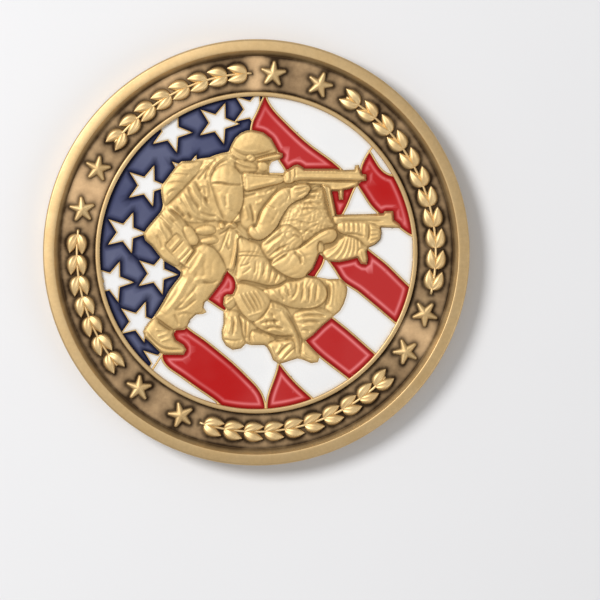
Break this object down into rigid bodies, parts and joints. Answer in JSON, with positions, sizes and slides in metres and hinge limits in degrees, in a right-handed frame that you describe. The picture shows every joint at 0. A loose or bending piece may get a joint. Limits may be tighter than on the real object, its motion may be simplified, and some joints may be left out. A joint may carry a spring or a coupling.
{
  "type": "challenge coin",
  "caption": "Round struck metal challenge coin, enamel flag and relief figures on the obverse, winged star above a green field and scroll on the reverse.",
  "frame": {"origin": "centre of the plane of the reverse rim, on which the coin lies", "axes": "+Z out of the obverse, +Y towards the top of the design"},
  "size_m": [0.0444, 0.0444, 0.003],
  "materials": {
    "antique_gold": "antique gold plate, matte",
    "black_enamel": "soft enamel",
    "blue_enamel": "soft enamel",
    "green_enamel": "soft enamel",
    "grey_enamel": "soft enamel",
    "red_enamel": "soft enamel",
    "white_enamel": "soft enamel"
  },
  "bodies": {
    "root": {"black_enamel_field_stars": "black_enamel", "black_enamel_inner_line": "black_enamel", "black_enamel_left_wing": "black_enamel", "black_enamel_outer_line": "black_enamel", "black_enamel_right_wing": "black_enamel", "black_enamel_scroll": "black_enamel", "blue_enamel_canton": "blue_enamel", "coin_body": "antique_gold", "green_enamel_field": "green_enamel", "green_enamel_scroll_leaves": "green_enamel", "grey_enamel_left_wing": "grey_enamel", "grey_enamel_right_wing": "grey_enamel", "red_enamel_between_legs": "red_enamel", "red_enamel_between_rifles": "red_enamel", "red_enamel_bottom": "red_enamel", "red_enamel_elbow": "red_enamel", "red_enamel_lower_left": "red_enamel", "red_enamel_lower_right": "red_enamel", "red_enamel_middle": "red_enamel", "red_enamel_right": "red_enamel", "red_enamel_upper": "red_enamel", "white_enamel_between_rifles": "white_enamel", "white_enamel_bottom": "white_enamel", "white_enamel_chin": "white_enamel", "white_enamel_elbow": "white_enamel", "white_enamel_lower_left": "white_enamel", "white_enamel_lower_right": "white_enamel", "white_enamel_middle": "white_enamel", "white_enamel_right": "white_enamel", "white_enamel_stars": "white_enamel", "white_enamel_top": "white_enamel", "white_enamel_upper_right": "white_enamel"}
  },
  "joints": []
}
